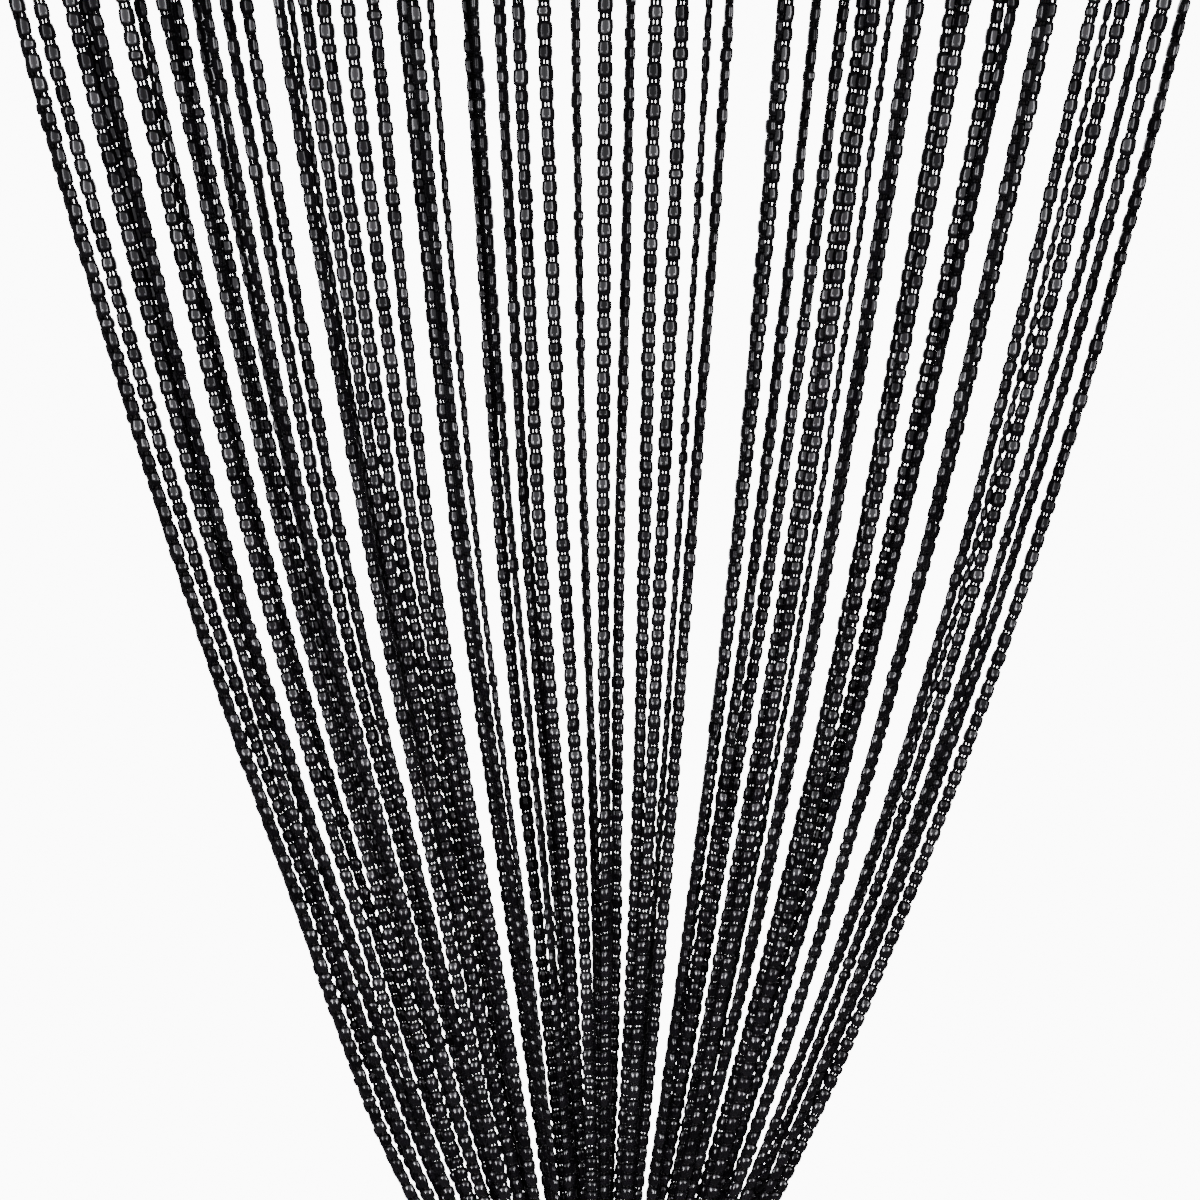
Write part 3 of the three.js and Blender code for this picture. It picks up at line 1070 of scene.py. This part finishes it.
@dataclass
class Heading:
    """The heading: a woven tape folded over a rod pocket and sewn through below it, hemmed at both ends."""

    wall: float = 1.5 * MM
    flange: float = 12 * MM  # the height that is sewn flat
    pocket_middle: float = -21 * MM
    pocket_half_foot: float = 0.4 * MM
    hem: float = 12 * MM
    hem_proud: float = 0.45 * MM
    hem_edge: float = 0.6 * MM  # over which the hem's step falls off
    hem_inset: float = 2 * MM  # of the hem's stitches, from its inner edge and from the foot
    station: float = 5 * MM
    straight: int = 13
    bend: int = 9
    sway: float = 0.5 * MM  # how far the tape waves to the front and back
    waves: tuple = ((0.65, 0.052, 0.8), (0.35, 0.019, 2.0))  # share, metres a radian and phase of each
    groove: float = 0.35 * MM  # how deep the stitches pull it in
    groove_reach: float = 1.3 * MM
    rows: tuple[float, float] = (-43.6 * MM, -51 * MM)
    stitch: Barrel = Barrel(2.5 * MM, 0.75 * MM, 0.5 * MM, 0.6, sides=5, bands=1, seed=31)
    pitch: float = 3.2 * MM

    def build(self) -> list[bpy.types.Object]:
        """Makes the sleeve and its stitches."""
        low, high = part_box("heading")
        cloth = WovenPolyester("polyester_tape_black", "1c1c1f", 1.2 * MM, 1.0 * MM).build()
        thread = WovenPolyester("polyester_thread_black", "2b2b2f", 0.6 * MM, 0.6 * MM, flat=False).build()
        fold = low.z + self.flange
        outer = SleeveSection(self.wall, low.z, fold, high.y, high.z, self.pocket_middle)
        pocket = SleeveSection(
            self.pocket_half_foot,
            fold + self.wall,
            fold + self.wall * 2,
            high.y - self.wall,
            high.z - self.wall,
            self.pocket_middle,
        )
        outside = outer.points(self.straight, self.bend)
        inside = pocket.points(self.straight, self.bend)
        sleeve = self._sleeve(outside, inside, low.x, high.x)
        sleeve.data.materials.append(cloth)
        stitches = self.stitch.repeat("heading_stitches", self._stitches(outside, low.x, high.x), thread)
        for piece in (sleeve, stitches):
            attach(piece, BODY)
            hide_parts("heading")
        return [sleeve, stitches]

    def _wave(self, x: np.ndarray | float) -> np.ndarray | float:
        """How far the tape lies to the back of its middle plane at x."""
        return self.sway * sum(share * np.sin(x / long + phase) for share, long, phase in self.waves)

    def _sleeve(
        self, outside: np.ndarray, inside: np.ndarray, left: float, right: float
    ) -> bpy.types.Object:
        """Makes the sleeve, open at both ends.

        Args:
            outside: the outer outline
            inside: the pocket's outline, with as many points
            left: the lowest x
            right: the highest x
        Returns:
            The sleeve.
        """
        inner_left, inner_right = left + self.hem, right - self.hem
        hems = [inner_left, inner_left + self.hem_edge, inner_right - self.hem_edge, inner_right]
        plain = np.linspace(left, right, round((right - left) / self.station))
        stations = np.unique(np.concatenate([plain, hems]))
        tangent = np.gradient(outside, axis=0)
        normal = unit(np.column_stack([tangent[:, 1], -tangent[:, 0]]))
        around = way_along(outside)
        pull = sum(np.exp(-(((outside[:, 1] - row) / self.groove_reach) ** 2)) for row in self.rows)
        rings, cloth = [], []
        for line, moved in ((outside, True), (inside, False)):
            for x in stations:
                at_hem = x <= inner_left or x >= inner_right
                proud = (self.hem_proud if at_hem else 0) - self.groove * pull
                section = line + normal * proud[:, None] if moved else line
                wave = self._wave(x)
                rings.append(np.column_stack([np.full(len(line), x), section[:, 0] + wave, section[:, 1]]))
                cloth.append(np.column_stack([np.full(len(line), x), np.zeros(len(line)), around]))
        count, size = len(stations), len(outside)
        shell = count * size
        faces = tube_faces(count, size) + tube_faces(count, size, start=shell)
        for ring in (0, (count - 1) * size):
            for k in range(size):
                after = (k + 1) % size
                faces.append((ring + k, ring + after, shell + ring + after, shell + ring + k))
        piece = mesh_piece("heading_sleeve", np.vstack(rings), faces)
        store(piece.data, "cloth", np.vstack(cloth))
        turn_outward(piece)
        return piece

    def _stitches(self, outside: np.ndarray, left: float, right: float) -> Places:
        """The places of the stitches: two rows along the foot, and one up each hem, on both faces.

        Args:
            outside: the outer outline
            left: the lowest x
            right: the highest x
        Returns:
            The places.
        """
        places = Places()
        out = self.wall - self.groove + self.stitch.thickness / 4
        count = round((right - left - 2 * self.hem) / self.pitch)
        for row in self.rows:
            for x in np.linspace(left + self.hem, right - self.hem, count):
                for side in (-1, 1):
                    spot = np.array([x, side * out + self._wave(x), row])
                    places.add(spot, RIGHT, UP)
        distance = way_along(outside)
        tangent = unit(np.gradient(outside, axis=0))
        inset = self.hem_inset
        for x in (left + self.hem - inset, right - self.hem + inset):
            for s in np.arange(inset, distance[-1] - inset, self.pitch):
                y, z, dy, dz = (np.interp(s, distance, rows) for rows in (*outside.T, *tangent.T))
                proud = self.hem_proud + self.stitch.thickness / 4
                spot = np.array([x, y + dz * proud + self._wave(x), z - dy * proud])
                places.add(spot, unit(np.array([0.0, dy, dz])), RIGHT)
        return places


@dataclass
class RootBraid:
    """The narrow plaited cord below the heading that the strands' threads are lashed to."""

    height: float = 4 * MM
    thickness: float = 4.4 * MM
    step: float = 0.85 * MM
    around: int = 12
    plait: float = 5.2 * MM  # from one crossing of the plait to the next
    relief: float = 0.22 * MM
    lashing: Barrel = Barrel(3.0 * MM, 5.3 * MM, 4.9 * MM, 0.95, sides=12, bands=1, seed=41)

    def build(self, lines: list[StrandLine]) -> list[bpy.types.Object]:
        """Makes the braid and the lashings.

        Args:
            lines: the strands' lines, which begin in the braid
        Returns:
            The pieces.
        """
        cloth = WovenPolyester("polyester_braid_black", "1a1a1d", 1.3 * MM, 1.1 * MM).build()
        low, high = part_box("strands")
        middle = high.z - self.height / 2
        length = high.x - low.x
        stations = np.arange(low.x, high.x + self.step / 2, length / round(length / self.step))
        angles = np.linspace(0, 2 * math.pi, self.around, endpoint=False)
        x, angle = np.meshgrid(stations, angles, indexing="ij")
        phase = 2 * math.pi * x / self.plait
        ridge = np.maximum(np.cos(phase + 2 * angle), np.cos(phase - 2 * angle))
        deep = (self.thickness / 2 - self.relief + self.relief * ridge) * np.cos(angle)
        tall = (self.height / 2 - self.relief + self.relief * ridge) * np.sin(angle)
        rings = np.stack([x, deep, middle + tall], axis=-1)
        spread = np.stack([x, np.zeros_like(x), angle * self.thickness / 2], axis=-1)
        braid = swept_piece("root_braid", rings, spread)
        braid.data.materials.append(cloth)
        places = Places()
        for line in lines:
            places.add(np.array([line.points[0][0], 0, middle]), RIGHT, BACK)
        thread = WovenPolyester("polyester_lashing_black", "202023", 0.7 * MM, 0.7 * MM, flat=False).build()
        lashings = self.lashing.repeat("root_lashings", places, thread)
        for piece in (braid, lashings):
            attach(piece, BODY)
            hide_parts("strands")
        return [braid, lashings]


@dataclass
class TieBand:
    """The tie: a ribbed band drawn round the bundle, its ends lapped and sewn at the back."""

    thickness: float = 2.2 * MM
    stations: int = 520
    around: int = 18
    rib: float = 1.7 * MM
    rib_height: float = 0.16 * MM
    roundness: tuple[float, float] = (0.5, 0.7)  # of its section, outwards and upwards: 1 is an ellipse
    ruffle: float = 0.45 * MM  # of its edges, up and down
    ruffle_long: float = 11 * MM  # for each radian of the ruffle
    slack: float = 0.6  # of the ruffle, by which the edges stand off and lie in
    slack_long: float = 17 * MM
    slack_start: float = 1.2  # radians
    lap: float = 22 * MM
    lap_stations: int = 28
    lap_gap: float = 0.1 * MM  # between the lap and the band beneath
    lap_thickness: float = 1.3 * MM
    outline_points: int = 2001
    stitch: Barrel = Barrel(2.2 * MM, 0.75 * MM, 0.5 * MM, 0.6, sides=5, bands=1, seed=51)
    pitch: float = 2.8 * MM
    inset: float = 4 * MM  # of the stitches from the lap's edges

    def build(self, rests_on: list[str]) -> list[bpy.types.Object]:
        """Makes the band, its lap and the stitches.

        Args:
            rests_on: the names of the beads that it holds; not used
        Returns:
            The pieces.
        """
        low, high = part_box("tie")
        cloth = WovenPolyester("polyester_grosgrain_black", "17171a", self.rib, 1.0 * MM, sheen=0.1).build()
        thread = WovenPolyester("polyester_stitch_black", "2b2b2f", 0.6 * MM, 0.6 * MM, flat=False).build()
        length, places, outward = self._path(high.x, high.y)
        middle, height = (low.z + high.z) / 2, high.z - low.z
        s = np.linspace(0, length, self.stations, endpoint=False)
        band = self._band("tie_band", s, (places, outward), (-self.thickness, 0), (middle, height), True)
        back = length / 4
        s = np.linspace(back - self.lap / 2, back + self.lap / 2, self.lap_stations)
        layers = (self.lap_gap, self.lap_thickness)
        lap = self._band("tie_lap", s, (places, outward), layers, (middle, height), False)
        for piece in (band, lap):
            piece.data.materials.append(cloth)
        sewn = self._stitches((places, outward), back, (middle, height))
        stitches = self.stitch.repeat("tie_stitches", sewn, thread)
        for piece in (band, lap, stitches):
            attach(piece, BODY)
            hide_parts("tie")
        return [band, lap, stitches]

    def _path(self, half_width: float, half_depth: float) -> tuple:
        """The band's outer outline.

        Args:
            half_width: its half width, along X
            half_depth: its half depth, along Y
        Returns:
            Its length, and functions of the distance round it for its place and its outward direction.
        """
        angles = np.linspace(0, 2 * math.pi, self.outline_points)
        x, y = half_width * np.cos(angles), half_depth * np.sin(angles)
        distance = np.concatenate([[0], np.cumsum(np.hypot(np.diff(x), np.diff(y)))])
        length = float(distance[-1])

        def place(s: np.ndarray | float) -> np.ndarray:
            """The place at a distance round the outline."""
            angle = np.interp(np.mod(s, length), distance, angles)
            return np.stack([half_width * np.cos(angle), half_depth * np.sin(angle)], axis=-1)

        def outward(s: np.ndarray | float) -> np.ndarray:
            """The outward direction at a distance round the outline."""
            angle = np.interp(np.mod(s, length), distance, angles)
            return unit(np.stack([np.cos(angle) / half_width, np.sin(angle) / half_depth], axis=-1))

        return length, place, outward

    def _band(
        self, name: str, s: np.ndarray, path: tuple, layers: tuple, level: tuple, closed: bool
    ) -> bpy.types.Object:
        """Makes a length of band along the outline.

        Args:
            name: the piece's name
            s: the distances of its rings round the outline
            path: the outline's place and outward direction
            layers: how far out its inner and outer faces lie
            level: its middle height and its width
            closed: whether it goes all the way round
        Returns:
            The piece.
        """
        inner, outer = layers
        middle, height = level
        phi = np.linspace(0, 2 * math.pi, self.around, endpoint=False)
        out = np.sign(np.cos(phi)) * np.abs(np.cos(phi)) ** self.roundness[0]
        up = np.sign(np.sin(phi)) * np.abs(np.sin(phi)) ** self.roundness[1]
        rib = self.rib_height * np.abs(np.sin(math.pi * s / self.rib))[:, None] * np.clip(out, 0, 1)
        ruffle = self.ruffle * np.sin(s / self.ruffle_long)[:, None] * up**2
        slack = self.ruffle * self.slack * np.sin(s / self.slack_long + self.slack_start)[:, None]
        off = (inner + outer) / 2 + (outer - inner) / 2 * out[None, :] + rib + slack * up**2
        flat_place = path[0](s)[:, None, :] + path[1](s)[:, None, :] * off[..., None]
        tall = middle + height / 2 * up[None, :] + ruffle
        rings = np.concatenate([flat_place, tall[..., None]], axis=-1)
        cloth = np.stack([np.broadcast_to(s[:, None], tall.shape), np.zeros_like(tall), tall], axis=-1)
        return swept_piece(name, rings, cloth, closed)

    def _stitches(self, path: tuple, back: float, level: tuple) -> Places:
        """The places of the stitches, in a box on the lap.

        Args:
            path: the outline's place and outward direction
            back: where the lap's middle lies round the outline
            level: the band's middle height and width
        Returns:
            The places.
        """
        middle, height = level
        half_long, half_tall = self.lap / 2 - self.inset, height / 2 - self.inset
        out = self.lap_thickness + self.rib_height + self.stitch.thickness / 4
        places = Places()

        def sew(s: float, z: float, upright: bool) -> None:
            """Adds one stitch."""
            flat_place = path[0](s) + path[1](s) * out
            normal = path[1](s)
            level_way = np.array([-normal[1], normal[0], 0.0])
            ways = (UP, level_way) if upright else (level_way, UP)
            places.add(np.array([*flat_place, middle + z]), *ways)

        for side in (-1, 1):
            for z in np.linspace(-half_tall, half_tall, round(2 * half_tall / self.pitch)):
                sew(back + side * half_long, z, True)
            for s in np.linspace(-half_long, half_long, round(2 * half_long / self.pitch)):
                sew(back + s, side * half_tall, False)
        return places


@dataclass
class Studio:
    """The camera at the photograph's angle, a pale floor and soft light."""

    picture: float = 1200
    focal: float = 1648.5  # in pixels of the picture
    sensor: float = 36
    camera_place: tuple[float, float, float] = (0.0018, -1.279, -0.1626)
    pitch: float = 17.6  # degrees down
    floor_level: float = -2.05
    floor_size: tuple[float, float] = (2.2, 1.6)
    background: float = 11  # how bright the white behind the curtain is
    fill: float = 0.1  # how bright the surroundings are for the object
    fill_colour: tuple[float, float, float, float] = (0.98, 0.96, 1, 1)
    light_colour: tuple[float, float, float] = (0.95, 0.94, 1)  # a touch of violet in the greys
    light_reach: float = 2.2  # from the curtain to the softboxes
    floor_light: tuple[float, float, float] = (0.65, 0.5, 0.8)  # sideways, deep and above the floor

    def build(self) -> None:
        """Makes the camera, the lights, the world and the floor.

        Wide, dim softboxes in front give the beads their grey faces, and a bright one far to either
        side their streaks. Low ones with grids put glints on the beads low down only. Those at the
        back light the other side, and flat ones the floor.
        """
        self._camera()
        self._world()
        self._floor()
        aside, deep, above = self.floor_light
        self._softbox("middle", 0, level=0.05, size=(0.935, 2.9), radiance=1.3)
        for side in (-1, 1):
            self._softbox("inner", 22 * side, level=0.05, size=(0.776, 2.9), radiance=1.8)
            self._softbox("streak", 41 * side, level=0.1, size=(0.4, 2.5), radiance=14)
            self._softbox("low", 27 * side, level=-1.15, size=(0.22, 0.9), radiance=95, grid=45)
            self._softbox("back", 180 + 14 * side, level=-0.2, size=(0.5, 3.2), radiance=4)
            for front in (-1, 1):
                place = (aside * side, deep * front, self.floor_level + above)
                self._area("floor", place, turns=(0, 0, 0), size=(0.7, 0.6), radiance=12, grid=130)
        self._softbox("back", 180, level=-0.2, size=(0.6, 3.2), radiance=1.5)

    def _camera(self) -> None:
        """Makes the camera."""
        lens = bpy.data.cameras.new("camera")
        lens.sensor_width = self.sensor
        lens.lens = self.sensor * self.focal / self.picture
        camera = bpy.data.objects.new("camera", lens)
        camera.location = self.camera_place
        camera.rotation_euler = (math.radians(90 - self.pitch), 0, 0)
        bpy.context.scene.collection.objects.link(camera)
        bpy.context.scene.camera = camera

    def _world(self) -> None:
        """Makes a world that is white behind the object and dim all round for its light."""
        world = bpy.data.worlds.new("studio")
        world.use_nodes = True
        bpy.context.scene.world = world
        tree = world.node_tree
        tree.nodes.clear()
        path = add_node(tree, "ShaderNodeLightPath").outputs
        white = add_node(
            tree, "ShaderNodeBackground", {"Color": (1, 1, 1, 1), "Strength": self.background}
        )
        dim = add_node(
            tree, "ShaderNodeBackground", {"Color": self.fill_colour, "Strength": self.fill}
        )
        mixed = add_node(
            tree,
            "ShaderNodeMixShader",
            {0: path["Is Camera Ray"], 1: dim.outputs[0], 2: white.outputs[0]},
        )
        add_node(tree, "ShaderNodeOutputWorld", {"Surface": mixed.outputs[0]})

    def _floor(self) -> None:
        """Makes the floor."""
        half_x, half_y = self.floor_size[0] / 2, self.floor_size[1] / 2
        corners = [(-half_x, -half_y), (half_x, -half_y), (half_x, half_y), (-half_x, half_y)]
        points = np.array([(x, y, self.floor_level) for x, y in corners])
        floor = mesh_piece("floor", points, [(0, 1, 2, 3)], smooth=False)
        floor.data.materials.append(PaleBoard().build())
        floor.visible_glossy = False

    def _softbox(
        self, name: str, azimuth: float, level: float, size: tuple, radiance: float, grid: float = 180
    ) -> None:
        """Makes one upright softbox that faces the curtain.

        Args:
            name: its name
            azimuth: how many degrees to the right of the front it stands
            level: the height of its middle
            size: its width and height
            radiance: how bright its face is, seen from the front
            grid: the degrees that its grid lets the light spread over, 180 without one
        """
        turn = math.radians(azimuth)
        place = (self.light_reach * math.sin(turn), -self.light_reach * math.cos(turn), level)
        self._area(name, place, (math.radians(90), 0, turn), size, radiance, grid)

    def _area(
        self, name: str, place: tuple, turns: tuple, size: tuple, radiance: float, grid: float
    ) -> None:
        """Makes one flat light, as bright from the front with a grid as without.

        Args:
            name: its name
            place: its middle
            turns: its turns about X, Y and Z, from facing down
            size: its width and height
            radiance: how bright its face is, seen from the front
            grid: the degrees that its light spreads over
        """
        half = math.radians(grid) / 2
        data = bpy.data.lights.new(name, "AREA")
        data.shape = "RECTANGLE"
        data.size, data.size_y = size
        data.spread = 2 * half
        data.energy = math.pi * size[0] * size[1] * radiance * (1 - half / math.tan(half))
        data.color = self.light_colour
        light = bpy.data.objects.new(name, data)
        light.location = place
        light.rotation_euler = turns
        light.visible_camera = False
        bpy.context.scene.collection.objects.link(light)


def main() -> None:
    """Builds the curtain and its studio."""
    logging.basicConfig(level=logging.INFO, format="%(message)s", stream=sys.stdout)
    Studio().build()
    lines = PackedStrands().lines()
    LOG.info("%d strands, %d points in the first", len(lines), len(lines[0].points))
    pieces = Strands().build(lines)
    held = [piece.name for piece in pieces if piece.name.startswith("beads")]
    pieces += RootBraid().build(lines) + Heading().build() + TieBand().build(held)
    triangles = 0
    for piece in pieces:
        piece.data.calc_loop_triangles()
        triangles += len(piece.data.loop_triangles)
        LOG.info("%s: %d triangles", piece.name, len(piece.data.loop_triangles))
    LOG.info("%d triangles in all", triangles)


if __name__ == "__main__":
    main()
